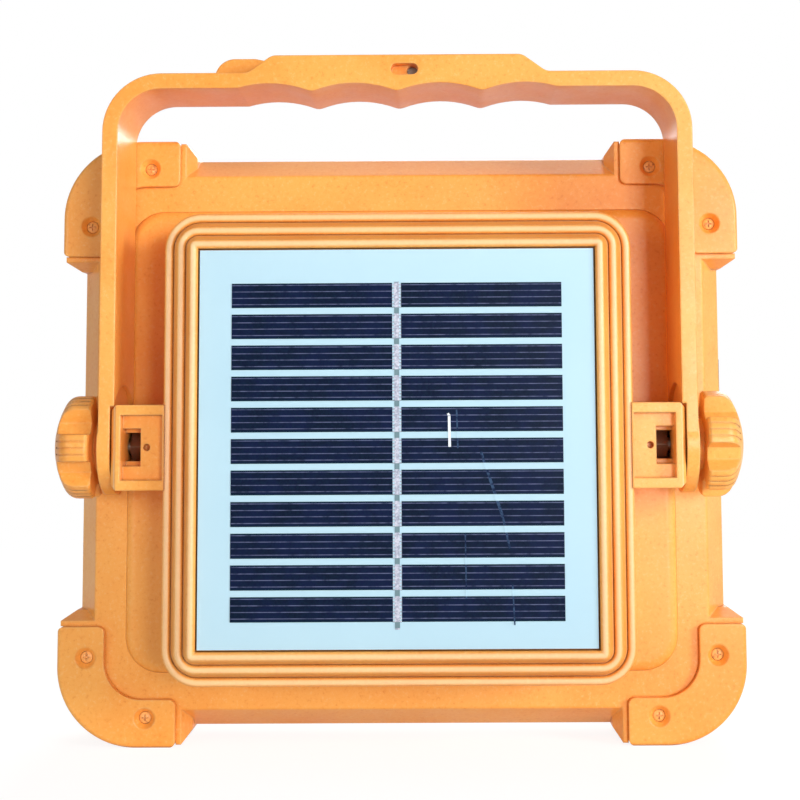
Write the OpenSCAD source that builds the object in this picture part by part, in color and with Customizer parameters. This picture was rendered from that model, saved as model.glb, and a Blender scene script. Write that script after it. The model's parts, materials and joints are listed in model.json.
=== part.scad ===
// Rechargeable solar work light with a folding bail handle, millimetres.
// +Z is up, the solar panel faces -Y, the lamp faces +Y, and the light stands on its corner guards at Z = 0.

/* [Housing] */
// Width of the housing at its side flange
body_w = 198.4; // [190:0.1:230]
// Height of the housing at its flange
body_h = 174.6; // [166:0.1:200]
// Corner radius of the housing outline
body_r = 19.5; // [16:0.5:22]
// Wall thickness of both housing shells
shell_t = 2.4; // [2:0.1:3]
// Depth of the rear shell, from its flat back to the joint line
rear_depth = 14; // [13:0.5:20]
// Depth of the sloped flank of the rear shell
slope_depth = 11; // [8:0.5:12]
// How far the flank leans in towards the flat back
slope_run = 6.5; // [4:0.1:8]
// Depth of the front bezel, from the joint line to its face
bezel_depth = 15; // [15:0.5:20]

/* [Corner guards] */
// Thickness of a guard outside the housing
guard_wall = 4.5; // [3:0.1:6]
// Length of each leg of a guard
guard_leg = 35.8; // [32:0.1:42]
// Width of each leg of a guard
guard_leg_w = 14.2; // [12:0.1:16]
// Fillet in the crook of a guard
guard_fillet = 11.3; // [8:0.1:14]
// Thickness of a guard's two lips
guard_lip = 3.8; // [3.4:0.1:5]
// How far the rear lip stands above the flat back
guard_rise = 1.8; // [1:0.1:2.2]
// How far the front lip stands above the bezel
guard_front_rise = 1.5; // [0.5:0.1:2]
// Distance of a guard screw from the outer edge
screw_edge = 8.7; // [8:0.1:10]
// Distance of a guard screw along the leg, from the outer corner
screw_along = 26.6; // [25:0.1:29]
// Radius of a guard screw's shank
screw_r = 1.45; // [1.2:0.05:1.7]
// Radius of a guard screw's round head
guard_head_r = 1.75; // [1.6:0.05:2.2]
// Radius of the cone round a guard screw's head
screw_recess_r = 3.2; // [2.6:0.1:3.6]
// Length of the housing shoulder beyond a guard's end
shoulder_len = 4.1; // [3:0.1:6]
// Thickness of the shoulder's rim at the flat back
shoulder_rim = 1.6; // [1:0.1:2.4]
// How far the shoulder stands outside the housing
shoulder_out = 3.8; // [2:0.1:4.2]

/* [Solar box] */
// Side of the square solar laminate
panel_size = 111; // [108:0.5:114]
// Thickness of the laminate
panel_t = 2.4; // [2:0.1:3]
// Depth of the laminate below the innermost ridge
panel_recess = 1.4; // [1.2:0.1:2]
// Gap round the laminate
panel_gap = 0.5; // [0.2:0.1:1]
// Height of the innermost ridge above the flat back
box_rise = 40.2; // [39:0.1:44]
// Distance of the box centre below the housing centre
box_drop = 1.8; // [0:0.1:2]
// Width of one rounded ridge
ridge_w = 2.57; // [2.2:0.01:3]
// Step from one ridge to the next, outwards
ridge_pitch = 4.32; // [4:0.01:4.6]
// Step from one ridge to the next, in depth
ridge_drop = 5.1; // [4:0.1:5.5]
// Number of ridges
ridge_count = 3; // [3:1:3]
// Outer corner radius of the box
box_r = 10.5; // [9:0.1:12]
// Wall thickness of the box
box_wall = 2.2; // [1.8:0.1:2.6]
// Width of the base flange
base_w = 166.6; // [162:0.1:172]
// Height of the base flange
base_h = 139.8; // [139:0.1:144]
// Corner radius of the base flange
base_r = 10.7; // [8:0.1:14]
// Width of the round edge of the base flange
base_edge = 3; // [1.8:0.1:4]

/* [Solar cells] */
// Number of cell rows
cell_rows = 11; // [8:1:12]
// Distance between rows
cell_pitch = 8.71; // [8:0.01:8.8]
// Height of one row
cell_h = 6.9; // [6:0.1:7.5]
// Length of a whole row
cell_w = 92.8; // [80:0.1:98]
// Gap in the middle of a row for the busbar
cell_split = 2.5; // [2:0.1:4]
// Width of the busbar ribbon
ribbon_w = 1.35; // [1:0.05:1.8]
// Thickness of cells and ribbon
foil_t = 0.15; // [0.1:0.05:0.3]
// Distance of the rows' centre below the laminate's centre
cell_drop = 1.0; // [0:0.1:2]

/* [Brackets] */
// How far a bracket reaches out from the box
bracket_reach = 14.9; // [14.5:0.1:16]
// Height of a bracket
bracket_h = 24.3; // [22:0.1:26]
// Width of the rim round a bracket's recess
bracket_rim = 2.9; // [2:0.1:3.2]
// Depth of a bracket's recess
recess_depth = 3.5; // [2:0.1:4]
// Distance of the bracket rim above the flat back
bracket_rise = 30.5; // [30:0.1:32]
// Height of the hinge axis above the flat back
pivot_rise = 16.4; // [16:0.1:17]

/* [Handle] */
// Thickness of the handle band
band_t = 4.5; // [4:0.05:4.8]
// Width of the handle band, front to back
band_w = 27; // [24:0.5:27]
// Distance of an arm's outer face outside a bracket's
arm_out = 3.6; // [3.4:0.05:3.8]
// Height of the band's top above the hinge axis
bar_top = 108.5; // [106:0.1:120]
// Thickness of the top bar
bar_t = 4.5; // [4.2:0.1:5.5]
// Outer corner radius of the handle
handle_r = 17; // [14:0.5:22]
// Radius of the round ends at the hinge
boss_r = 14; // [13.6:0.1:14.2]
// Gap between a bracket and the handle end beside it
hinge_gap = 0.3; // [0.2:0.05:0.5]
// Thickness of the handle at the hinge
boss_t = 3.6; // [3:0.1:4.5]
// Height of the grip above the bar
grip_rise = 5.1; // [4:0.1:7]
// Half length of the flat top of the grip
grip_half = 36.5; // [32:0.5:42]
// Length of the grip's sloped ends
grip_slope = 7; // [6:0.5:12]
// Radius of the bends at the grip's ends
grip_bend = 4; // [2:0.5:6]
// Distance between finger grooves
finger_pitch = 24.9; // [22:0.1:26]
// Number of finger grooves
finger_count = 4; // [4:1:4]
// Depth of a finger groove before its cusps are rounded
finger_depth = 2.5; // [2:0.1:3.2]
// How far a finger groove reaches into the bar
finger_rise = 1.3; // [0.8:0.1:1.5]
// Radius of the cusps between the grooves
cusp_r = 3.5; // [2:0.1:5]
// Length of the slot in the grip
slot_len = 7.9; // [7:0.1:10]
// Height of the slot in the grip
slot_h = 3.3; // [3:0.1:3.6]
// Distance of the slot from the middle of the grip
slot_x = 2.2; // [0:0.1:4]
// Height of the slot above the bar's top
slot_rise = 0.9; // [0.6:0.1:1.2]
// Depth of the slot
slot_depth = 3.5; // [2:0.1:5]

/* [Hanging hook] */
// Thickness of the hook, front to back
hook_t = 8; // [6:0.5:10]
// Clearance round the hook
hook_gap = 0.3; // [0.2:0.05:0.4]
// Distance from the hook's pin to the middle of its nose
hook_reach = 53; // [51:0.1:58]
// Radius of the hook's nose
nose_r = 6; // [5:0.1:7]
// Radius of the hook's eye
eye_r = 3.2; // [3:0.1:3.4]
// Width of the hook's mouth
mouth_w = 6; // [5:0.1:7]
// Height of the hook's mouth
mouth_h = 4.3; // [4.2:0.1:4.6]
// Distance from the hook's nose to its mouth
mouth_in = 15.5; // [14:0.5:20]

/* [Clamp knobs] */
// Radius over the lobes
knob_r = 15.4; // [14:0.1:17]
// Length of the lobed part
knob_len = 12.4; // [11:0.1:15]
// Number of lobes
lobe_count = 6; // [5:1:7]
// Radius at the bottom of the valleys
valley_r = 11; // [10.5:0.1:12.5]
// Half width of a lobe
lobe_half = 3.8; // [3.5:0.1:4.5]
// Height of the hub between washer and lobes
hub_h = 1.4; // [1:0.1:2]
// Radius of the bolt's smooth shoulder
shoulder_r = 3; // [2.8:0.1:3.5]
// Radius of the bolt's threaded end
thread_r = 2.45; // [2:0.05:2.5]
// Width of the nut across its flats
nut_af = 8; // [7.5:0.1:8.2]
// Thickness of the nut
nut_t = 4; // [3.5:0.1:4.2]
// Running clearance of shafts in bores
run_gap = 0.06; // [0.03:0.01:0.09]
// Turn of the right knob against the left one
knob_turn = -17; // [-30:1:30]

/* [Lamp front] */
// Margin beside the lamp window
window_side = 22.2; // [21:0.1:28]
// Margin above the lamp window
window_top = 14.3; // [13:0.1:20]
// Margin below the lamp window
window_foot = 38.3; // [36:0.1:44]
// Corner radius of the window
window_r = 8; // [6:0.5:10]
// Thickness of the lens
lens_t = 3; // [2:0.1:3.2]
// How far the lens reaches under the bezel
lens_lap = 3; // [2:0.1:3.5]
// Thickness of the lens seal
seal_t = 1.2; // [0.8:0.1:1.5]
// Width of the sloped reflector wall
reflector_run = 7; // [5:0.5:9]
// Thickness of the circuit boards
board_t = 1.6; // [1.2:0.1:2]
// Columns of light emitting packages
led_cols = 12; // [6:1:12]
// Rows of light emitting packages
led_rows = 10; // [4:2:10]
// Side of one package
led_size = 3.5; // [2.8:0.1:5]
// Radius of the power button
button_r = 6.4; // [5:0.1:8]
// Travel of the power button
button_travel = 1; // [0.6:0.1:1.2]

/* [Ports] */
// Distance of the two sockets from each other
port_pitch = 18; // [16:0.5:20]
// Length of the port plate
port_len = 39; // [36:0.5:42]
// Thickness of the flap over the sockets
flap_t = 1.1; // [0.8:0.1:1.2]
// Width of the flap
flap_w = 9.7; // [9:0.1:10]

/* [Battery] */
// Number of round cells
battery_count = 4; // [2:1:5]
// Radius of a round cell
battery_r = 9.15; // [9:0.05:9.3]
// Length of a round cell
battery_len = 65; // [60:0.5:70]

/* [Hidden] */
$fn = 64;
eps = 0.01;

orange = [0.93, 0.50, 0.20];
black = [0.10, 0.10, 0.11];
steel = [0.72, 0.73, 0.75];

// Depth: every place along Y follows from the shells' depths.
overall_depth = box_rise + rear_depth + bezel_depth + guard_front_rise;
rim_y = -overall_depth / 2;
plate_y = rim_y + box_rise;
joint_y = plate_y + rear_depth;
face_y = joint_y + bezel_depth;
front_y = face_y + guard_front_rise;
lip_y = plate_y - guard_rise;
panel_y = rim_y + panel_recess;
pivot_y = plate_y - pivot_rise;

// Height: the guards stand on Z = 0.
body_z = body_h / 2 + guard_wall;
box_z = body_z - box_drop;

// Outlines
guard_w = body_w + 2 * guard_wall;
guard_h = body_h + 2 * guard_wall;
guard_r = body_r + guard_wall;
opening = panel_size + 2 * panel_gap;
box_run = (ridge_count - 1) * ridge_pitch + ridge_w;
box_w = opening + 2 * box_run;
bead_r = ridge_w / 2;
ledge_t = 1.8;
ledge_w = 3.5;
cavity_w = box_w - 2 * box_wall;
back_window = 46;
box_screw_xz = cavity_w / 2 - 4;
box_boss_r = 3.8;
box_screw_len = 8;
bracket_x = box_w / 2 + bracket_reach;
bracket_bevel = 1.6;

// Lamp window and the row of controls below it
window_w = body_w - 2 * window_side;
window_h = body_h - window_top - window_foot;
window_z = body_z + (window_foot - window_top) / 2;
controls_z = window_z - window_h / 2 - 16;

// Lamp stack, from the face inwards
face_t = 2.2;
front_pad_y = face_y - guard_lip + guard_front_rise;
lens_y = face_y - face_t - lens_t;
lens_seal_y = lens_y - seal_t;
flange_t = 1.2;
reflector_y = lens_seal_y - flange_t;
led_board_y = joint_y + 0.6;
led_top_y = led_board_y + board_t;
board_y = joint_y + 4;
led_step_x = (window_w - 2 * reflector_run) / led_cols;
led_step_z = (window_h - 2 * reflector_run) / led_rows;

// Guard screws: each as [x, z] from the housing centre
screw_spots = [
    for (sx = [-1, 1], sz = [-1, 1], k = [0, 1])
        [
            sx * (guard_w / 2 - (k == 0 ? screw_edge : screw_along)),
            sz * (guard_h / 2 - (k == 0 ? screw_along : screw_edge))
        ]
];
screw_recess_t = 1.8;
screw_seat_y = lip_y + guard_lip - 1;
screw_boss_r = 3.4;
screw_end_y = face_y - 6;

// Clamp stack along X, from a bracket outwards
boss_x = bracket_x + hinge_gap;
washer_x = boss_x + boss_t + 0.15;
washer_t = 1;
hub_x = washer_x + washer_t;
lobe_x = hub_x + hub_h;
nut_x = bracket_x - 7.9;
pocket_x = nut_x - 0.2;
bolt_seat = 4.4;
bolt_head_r = 5.5;
bolt_head_t = 3.5;
pocket_end = bracket_x - bracket_rim;

// Handle
arm_x = bracket_x + arm_out;
inner_x = arm_x - band_t;
bar_z = box_z + bar_top;
bar_under = bar_z - bar_t;
grip_z = bar_z + grip_rise;
groove_r = (pow(finger_pitch / 2, 2) + pow(finger_depth, 2)) / (2 * finger_depth);
groove_z = bar_under + finger_rise - groove_r;
relief_r = 17.9;
pin_x = slot_x + (slot_len - slot_h) / 2;
pin_z = bar_z + slot_rise;
pin_r = slot_h / 2 - run_gap;
pin_inset = 5.5;
trough_w = hook_t + 2 * hook_gap;
hook_under = pin_z - 2.1;
trough_floor = hook_under - hook_gap;
nose_x = pin_x - hook_reach;
nose_z = bar_z + 0.3;

// Ports in the right-hand wall of the bezel
port_z = body_z + 4;
port_y = board_y + board_t;
port_h = face_y - face_t - joint_y;

// ---------- shared shapes ----------

// A flat outline in X and Z, given depth from y0 to y1.
module slab(y0, y1) translate([0, y1, 0]) rotate([90, 0, 0]) linear_extrude(y1 - y0) children();

// A round bar along Y.
module bar_y(r, y0, y1) translate([0, y0, 0]) rotate([-90, 0, 0]) cylinder(r = r, h = y1 - y0);

// A round bar along X.
module bar_x(r, x0, x1) translate([x0, 0, 0]) rotate([0, 90, 0]) cylinder(r = r, h = x1 - x0);

module rounded(w, h, r) {
    square([w - 2 * r, h], center = true);
    square([w, h - 2 * r], center = true);
    for (x = [-1, 1], y = [-1, 1]) translate([x * (w / 2 - r), y * (h / 2 - r)]) circle(r);
}

module ring(w, h, r, t) difference() {
    rounded(w, h, r);
    rounded(w - 2 * t, h - 2 * t, max(r - t, 0.5));
}

// Sweeps a profile round a rounded rectangle. The profile's x is the distance outside the outline,
// and its y is the depth along Y.
module sweep(w, h, r) rotate([-90, 0, 0]) for (k = [0:3]) {
    across = k % 2 == 0 ? w : h;
    along = (k % 2 == 0 ? h : w) - 2 * r;
    rotate(90 * k) {
        translate([across / 2, along / 2, 0]) rotate([90, 0, 0]) linear_extrude(along) children();
        translate([across / 2 - r, along / 2, 0]) rotate_extrude(angle = 90) intersection() {
            translate([r, 0]) children();
            translate([0, -overall_depth]) square([r + 20, 2 * overall_depth]);
        }
    }
}

// What a rounding of radius r takes off an edge at x = 0. dir is 1 where the solid lies towards +Y.
module edge_round(r, y, dir) translate([0, y]) difference() {
    translate([-r, dir > 0 ? -1 : -r]) square([r + 1, r + 1]);
    translate([-r, dir * r]) circle(r);
}

module at_body() translate([0, 0, body_z]) children();

module at_box() translate([0, 0, box_z]) children();

module at_pivot() translate([0, pivot_y, box_z]) children();

module side(s) mirror([s < 0 ? 1 : 0, 0, 0]) children();

// ---------- corner guards ----------

// The L of a guard, in the corner where x and y are positive.
module guard_outline() {
    x1 = guard_w / 2;
    y1 = guard_h / 2;
    crook = guard_leg_w + guard_fillet;
    end_r = 2;
    intersection() {
        rounded(guard_w, guard_h, guard_r);
        union() {
            translate([x1 - guard_leg / 2, y1 - guard_leg_w / 2])
                rounded(guard_leg, guard_leg_w, end_r);
            translate([x1 - guard_leg_w / 2, y1 - guard_leg / 2])
                rounded(guard_leg_w, guard_leg, end_r);
            difference() {
                translate([x1 - crook, y1 - crook]) square(crook);
                translate([x1 - crook, y1 - crook]) circle(guard_fillet);
                translate([x1 - crook - 1, y1 - crook - 1])
                    square([guard_fillet + 1, 1]);
                translate([x1 - crook - 1, y1 - crook - 1])
                    square([1, guard_fillet + 1]);
            }
            translate([x1 - guard_leg_w, y1 - guard_leg_w]) square(guard_leg_w);
        }
    }
}

module in_corner(sx, sz) at_body() mirror([sx < 0 ? 1 : 0, 0, 0]) mirror([0, 0, sz < 0 ? 1 : 0]) children();

module guard(sx, sz) color(orange) difference() {
    in_corner(sx, sz) {
        slab(lip_y, lip_y + guard_lip) guard_outline();
        slab(front_y - guard_lip, front_y) guard_outline();
        slab(lip_y, front_y) difference() {
            guard_outline();
            rounded(body_w, body_h, body_r);
        }
    }
    at_body() {
        sweep(guard_w, guard_h, guard_r) {
            edge_round(1.4, lip_y, 1);
            edge_round(1.4, front_y, -1);
        }
        for (p = screw_spots) if (p[0] * sx > 0 && p[1] * sz > 0) translate([p[0], 0, p[1]]) {
            bar_y(screw_r + 0.1, lip_y - 1, lip_y + guard_lip + 1);
            bar_y(guard_head_r + 0.1, lip_y - 1, screw_seat_y);
            translate([0, lip_y - eps, 0]) rotate([-90, 0, 0])
                cylinder(r1 = screw_recess_r, r2 = guard_head_r + 0.1, h = screw_recess_t);
        }
    }
}

module guard_top_left() guard(-1, 1);
module guard_top_right() guard(1, 1);
module guard_bottom_left() guard(-1, -1);
module guard_bottom_right() guard(1, -1);

// Screws with low domed heads and a cross slot.
module guard_screws() color(steel) at_body() for (p = screw_spots) translate([p[0], 0, p[1]]) difference() {
    head_t = 1.5;
    dome_r = 3;
    union() {
        intersection() {
            bar_y(guard_head_r, screw_seat_y - head_t, screw_seat_y);
            translate([0, screw_seat_y - head_t + dome_r, 0]) sphere(dome_r);
        }
        bar_y(screw_r, screw_seat_y - eps, screw_end_y);
    }
    for (a = [0, 90]) rotate([0, a, 0]) translate([-1, screw_seat_y - head_t - 1, -0.2]) cube([2, 1.6, 0.4]);
}

// ---------- housing ----------

// The shoulders that each guard's legs end against, between the depths y0 and y1.
module shoulders(y0, y1) for (sx = [-1, 1], sz = [-1, 1]) in_corner(sx, sz) slab_between(y0, y1) {
    translate([body_w / 2, 0, guard_h / 2 - guard_leg]) shoulder();
    translate([guard_w / 2 - guard_leg, 0, body_h / 2]) mirror([1, 0, -1]) shoulder();
}

module slab_between(y0, y1) intersection() {
    children();
    translate([0, y0, 0]) cube([body_w, y1 - y0, body_h]);
}

// One shoulder outside a wall at x = 0, below a guard that ends at z = 0: a thin rim at the flat
// back, a gusset behind it, and an outer face that slopes in to the wall.
module shoulder() {
    gusset = 6;
    foot = 0.3;
    inside = slope_run + 0.5;
    intersection() {
        slab(plate_y, front_pad_y) polygon([
            [-inside, 0], [shoulder_out, 0], [shoulder_out, -shoulder_rim],
            [foot, -shoulder_len], [-inside, -shoulder_len]
        ]);
        rotate([90, 0, 90]) translate([0, 0, -inside]) linear_extrude(inside + shoulder_out) polygon([
            [plate_y, 0], [plate_y, -shoulder_rim], [plate_y + gusset, -shoulder_len],
            [front_pad_y - gusset, -shoulder_len], [front_pad_y, -shoulder_rim], [front_pad_y, 0]
        ]);
        translate([0, 0, -shoulder_len]) linear_extrude(shoulder_len) polygon([
            [shoulder_out, plate_y], [-inside, plate_y], [-inside, plate_y + shell_t / 2],
            [-shell_t / 2, plate_y + slope_depth + 0.5], [-shell_t / 2, front_pad_y],
            [shoulder_out, front_pad_y]
        ]);
    }
}

plate_run = slope_run + 8;

// Section of the rear shell's side: wall, sloped flank and the edge of the flat back, with round bends.
module flank_profile() {
    bend_r = 1;
    lean = atan(slope_run / slope_depth);
    back_run = bend_r * tan(45 - lean / 2);
    side_run = bend_r * tan(lean / 2);
    polygon([
        [0, joint_y], [0, plate_y + slope_depth + side_run],
        [-side_run * sin(lean), plate_y + slope_depth - side_run * cos(lean)],
        [-slope_run + back_run * sin(lean), plate_y + back_run * cos(lean)],
        [-slope_run - back_run, plate_y], [-plate_run, plate_y],
        [-plate_run, plate_y + shell_t], [-slope_run - 1, plate_y + shell_t],
        [-shell_t, plate_y + slope_depth + 1], [-shell_t, joint_y]
    ]);
    translate([-slope_run - back_run, plate_y + bend_r]) circle(bend_r);
    translate([-bend_r, plate_y + slope_depth + side_run]) circle(bend_r);
}

module rear_housing() color(orange) difference() {
    pad_y = lip_y + guard_lip;
    union() {
        at_body() sweep(body_w, body_h, body_r) flank_profile();
        difference() {
            at_body() slab(plate_y, plate_y + shell_t)
                rounded(body_w - 2 * plate_run + 1, body_h - 2 * plate_run + 1, body_r - plate_run + 0.5);
            at_box() slab(plate_y - 1, plate_y + shell_t + 1) rounded(back_window, back_window, 6);
        }
        for (sx = [-1, 1], sz = [-1, 1]) in_corner(sx, sz) {
            slab(pad_y, pad_y + shell_t) intersection() {
                guard_outline();
                rounded(body_w, body_h, body_r);
            }
            slab(pad_y, joint_y) intersection() {
                guard_outline();
                ring(body_w, body_h, body_r, shell_t);
            }
        }
        shoulders(plate_y, joint_y);
        at_body() for (p = screw_spots) translate([p[0], 0, p[1]]) bar_y(screw_boss_r, pad_y, joint_y);
        at_window() for (x = [-1, 1], z = [-1, 1])
            translate([x * (window_w / 2 - 9), 0, z * (window_h / 2 - 9)])
                bar_y(3, plate_y + shell_t - eps, led_board_y);
    }
    for (sx = [-1, 1], sz = [-1, 1]) in_corner(sx, sz) slab(plate_y - 1, pad_y) guard_outline();
    at_body() for (p = screw_spots) translate([p[0], 0, p[1]])
        bar_y(screw_r + 0.1, plate_y - 1, joint_y + 1);
    at_box() for (x = [-1, 1], z = [-1, 1]) translate([x * box_screw_xz, 0, z * box_screw_xz])
        bar_y(screw_r + 0.1, plate_y - 1, plate_y + shell_t + 1);
    at_box() slab(plate_y - 1, plate_y + 0.7) ring(box_w - 0.8, box_w - 0.8, box_r - 0.4, 1.4);
}

// The cord that seals the two shells.
seal_w = 1.2;
module housing_seal() color(black) at_body() slab(joint_y, joint_y + seal_w * 0.75) seal_outline();

module seal_outline() ring(body_w - seal_w, body_h - seal_w, body_r - seal_w / 2, seal_w);

module front_bezel() color(orange) difference() {
    union() {
        at_body() {
            slab(joint_y, face_y) ring(body_w, body_h, body_r, shell_t);
            slab(face_y - face_t, face_y) rounded(body_w, body_h, body_r);
        }
        at_window() slab(lens_seal_y, face_y - face_t)
            ring(window_w + 2 * lens_lap + 3, window_h + 2 * lens_lap + 3, window_r + lens_lap + 1.5, 1.4);
        shoulders(joint_y, front_pad_y);
        at_body() for (p = screw_spots) translate([p[0], 0, p[1]])
            bar_y(screw_boss_r, joint_y, front_pad_y - eps);
        for (sx = [-1, 1], sz = [-1, 1]) in_corner(sx, sz) slab(front_pad_y - shell_t, front_pad_y)
            intersection() {
                guard_outline();
                rounded(body_w, body_h, body_r);
            }
        // the two ears of the flap's hinge
        flap_axis() for (s = [-1, 1]) translate([-flap_axis_out - 0.5, -0.9, s * flap_ear_z - flap_ear / 2])
            cube([flap_axis_out + 1.3, 1.8, flap_ear]);
    }
    at_window() {
        slab(face_y - face_t - 1, face_y + 1) rounded(window_w, window_h, window_r);
        sweep(window_w, window_h, window_r)
            polygon([[-1, face_y + 1], [2.2, face_y + 1], [-0.6, face_y - 1.8]]);
    }
    for (sx = [-1, 1], sz = [-1, 1]) in_corner(sx, sz) slab(front_pad_y, face_y + 1) guard_outline();
    at_body() for (p = screw_spots) translate([p[0], 0, p[1]])
        bar_y(screw_r + 0.02, joint_y - 1, screw_end_y);
    seal_groove();
    at_body() sweep(body_w, body_h, body_r) edge_round(1.6, face_y, -1);
    at_button() bar_y(button_r + 0.3, face_y - face_t - 1, face_y + 1);
    at_gauge() slab(face_y - face_t - 1, face_y + 1) rounded(gauge_w, gauge_h, gauge_h * 0.44);
    // notch for the port plate
    translate([body_w / 2 - shell_t - 1, joint_y - 1, port_z]) cube_yz(shell_t + 2, port_h + 1, port_len);
    flap_axis() cylinder(r = flap_pin_r + run_gap, h = 2 * flap_ear_z + flap_ear + 1, center = true);
}

// The groove of that seal.
module seal_groove() at_body() slab(joint_y - 1, joint_y + seal_w * 0.75) seal_outline();

// A block from x = 0, with its bottom at y = 0, centred in Z.
module cube_yz(x, y, z) translate([0, 0, -z / 2]) cube([x, y, z]);

module at_button() translate([0, 0, controls_z]) children();

module at_gauge() translate([-gauge_out, 0, controls_z]) children();

// ---------- lamp ----------

module at_window() translate([0, 0, window_z]) children();

module lens() color([0.85, 0.92, 0.95]) at_window() slab(lens_y, lens_y + lens_t)
    rounded(window_w + 2 * lens_lap, window_h + 2 * lens_lap, window_r + lens_lap);

module lens_seal() color(black) at_window() slab(lens_seal_y, lens_y)
    ring(window_w + 2 * lens_lap, window_h + 2 * lens_lap, window_r + lens_lap, lens_lap);

module reflector() color([0.95, 0.95, 0.96]) at_window() {
    sweep(window_w, window_h, window_r) polygon([
        [lens_lap, lens_seal_y], [lens_lap, reflector_y], [0.4, reflector_y],
        [-reflector_run + 0.8, led_top_y], [-reflector_run - 0.8, led_top_y], [-0.8, lens_seal_y]
    ]);
    // ridges between the bays
    for (k = [-1, 1]) translate([k * round(led_cols / 6) * led_step_x, 0, 0])
        bay_ridge(window_h - 2 * reflector_run + 1);
    rotate([0, 90, 0]) bay_ridge(window_w - 2 * reflector_run + 1);
}

module bay_ridge(length) translate([0, 0, -length / 2]) linear_extrude(length)
    polygon([[-2.2, led_top_y], [2.2, led_top_y], [0.4, led_top_y + 3.4], [-0.4, led_top_y + 3.4]]);

module led_board() color([0.92, 0.93, 0.93]) at_window() slab(led_board_y, led_top_y)
    rounded(window_w - 6, window_h - 6, 5);

module led_packages() color([0.95, 0.85, 0.35]) at_window() {
    for (i = [0:led_cols - 1], j = [0:led_rows - 1])
        translate([(i - (led_cols - 1) / 2) * led_step_x, led_top_y, (j - (led_rows - 1) / 2) * led_step_z])
            translate([-led_size / 2, 0, -led_size / 2]) cube([led_size, 0.8, led_size]);
}

// ---------- controls ----------

usb_w = 13.1;
usb_h = 5.7;
usb_len = 14;
usb_depth = 9;
typec_w = 8.9;
typec_h = 3.2;
typec_len = 7.6;
typec_depth = 5.1;
gauge_w = 30;
gauge_h = 5;
gauge_out = 40;
flap_len = port_len + 1;
flap_rise = 3.2;
flap_y = joint_y + flap_rise;
flap_gap = 0.1;
flap_axis_out = 1.0;
flap_bead_r = 0.8;
flap_pin_r = 0.55;
flap_ear = 2;
flap_ear_z = flap_len / 2 + 0.3 + flap_ear / 2;
switch_top = board_y + board_t + 1.9;

module control_board() color([0.10, 0.35, 0.18]) {
    strip_w = 15;
    strip_left = 60;
    arm_w = 4;
    arm_bend = 16;
    chip = [9, 1.6, 8];
    chip_x = 24;
    choke_r = 4.5;
    choke_h = 4;
    choke_x = -30;
    low_z = controls_z - strip_w / 2;
    right_x = window_w / 2 + lens_lap + 2.5;
    edge_x = body_w / 2 - shell_t - plate_lip - 0.4;
    difference() {
        slab(board_y, board_y + board_t) {
            translate([-strip_left, low_z]) square([strip_left + right_x + arm_w, strip_w]);
            translate([right_x, low_z]) square([arm_w, arm_bend + arm_w]);
            translate([right_x, low_z + arm_bend])
                square([edge_x - right_x, port_z + (port_len + 1) / 2 - low_z - arm_bend]);
        }
        at_body() for (p = screw_spots) translate([p[0], 0, p[1]])
            bar_y(screw_boss_r + 0.4, board_y - 1, board_y + board_t + 1);
    }
    // the chip and the choke behind the strip
    translate([chip_x, board_y - chip[1], controls_z - chip[2] / 2]) cube(chip);
    translate([choke_x, 0, controls_z]) bar_y(choke_r, board_y - choke_h, board_y);
}

module push_switch() color(black) at_button() {
    translate([-3, board_y + board_t, -3]) cube([6, 1.4, 6]);
    bar_y(1.7, board_y + board_t + 1.4 - eps, switch_top);
}

module power_button() color(black) at_button() difference() {
    top_y = face_y + 0.9;
    dimple_r = 18;
    dimple_depth = 0.6;
    union() {
        bar_y(button_r, face_y - face_t - 0.5, top_y);
        bar_y(button_r + 1.4, face_y - face_t - 1.3, face_y - face_t - 0.05);
        bar_y(1.7, switch_top + button_travel + 0.3, face_y - face_t - 1);
    }
    translate([0, top_y + dimple_r - dimple_depth, 0]) sphere(dimple_r, $fn = 96);
}

module charge_window() color([0.90, 0.92, 0.90]) at_gauge() slab(face_y - face_t, face_y - 0.2)
    rounded(gauge_w - 0.2, gauge_h - 0.2, gauge_h * 0.42);

// The plate that carries the sockets, held in the wall between the two shells by its inner lip.
plate_lip = 1;
module port_plate() color(orange) translate([body_w / 2 - shell_t, 0, port_z]) difference() {
    union() {
        translate([0, joint_y, 0]) cube_yz(shell_t, port_h - 0.05, port_len - 0.1);
        translate([-plate_lip, joint_y + 0.05, 0]) cube_yz(plate_lip, port_h - 0.1, port_len + 3);
    }
    translate([-2, port_y, port_pitch / 2]) cube_yz(shell_t + 3, usb_h, usb_w);
    translate([-2, port_y, -port_pitch / 2]) cube_yz(shell_t + 3, typec_h, typec_w);
    translate([shell_t - body_w / 2, 0, -port_z]) seal_groove();
}

// One socket shell of outer size w by h, with its mouth at the right-hand side.
module socket_shell(w, h, length, wall, depth) difference() {
    translate([-length, 0, 0]) cube_yz(length, h, w);
    translate([-depth, wall, 0]) cube_yz(depth + 1, h - 2 * wall, w - 2 * wall);
}

module usb_socket() color(steel) translate([body_w / 2 - 0.6, port_y, port_z + port_pitch / 2])
    socket_shell(usb_w - 0.2, usb_h - 0.1, usb_len, 0.6, usb_depth);

module charge_socket() color(steel) translate([body_w / 2 - 0.6, port_y, port_z - port_pitch / 2])
    socket_shell(typec_w - 0.2, typec_h - 0.1, typec_len, 0.35, typec_depth);

module flap_axis() translate([body_w / 2 + flap_axis_out, face_y - 1.5, port_z]) children();

// The soft flap over both sockets, with the bead that it turns on.
module port_flap() color(black) {
    translate([body_w / 2 + flap_gap, flap_y, port_z]) cube_yz(flap_t, flap_w + 0.3, flap_len);
    flap_axis() {
        cylinder(r = flap_bead_r, h = flap_len, center = true);
        cylinder(r = flap_pin_r, h = 2 * flap_ear_z + flap_ear, center = true);
    }
}

// ---------- solar box ----------

function ridge_top(k) = rim_y + k * ridge_drop;

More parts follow.
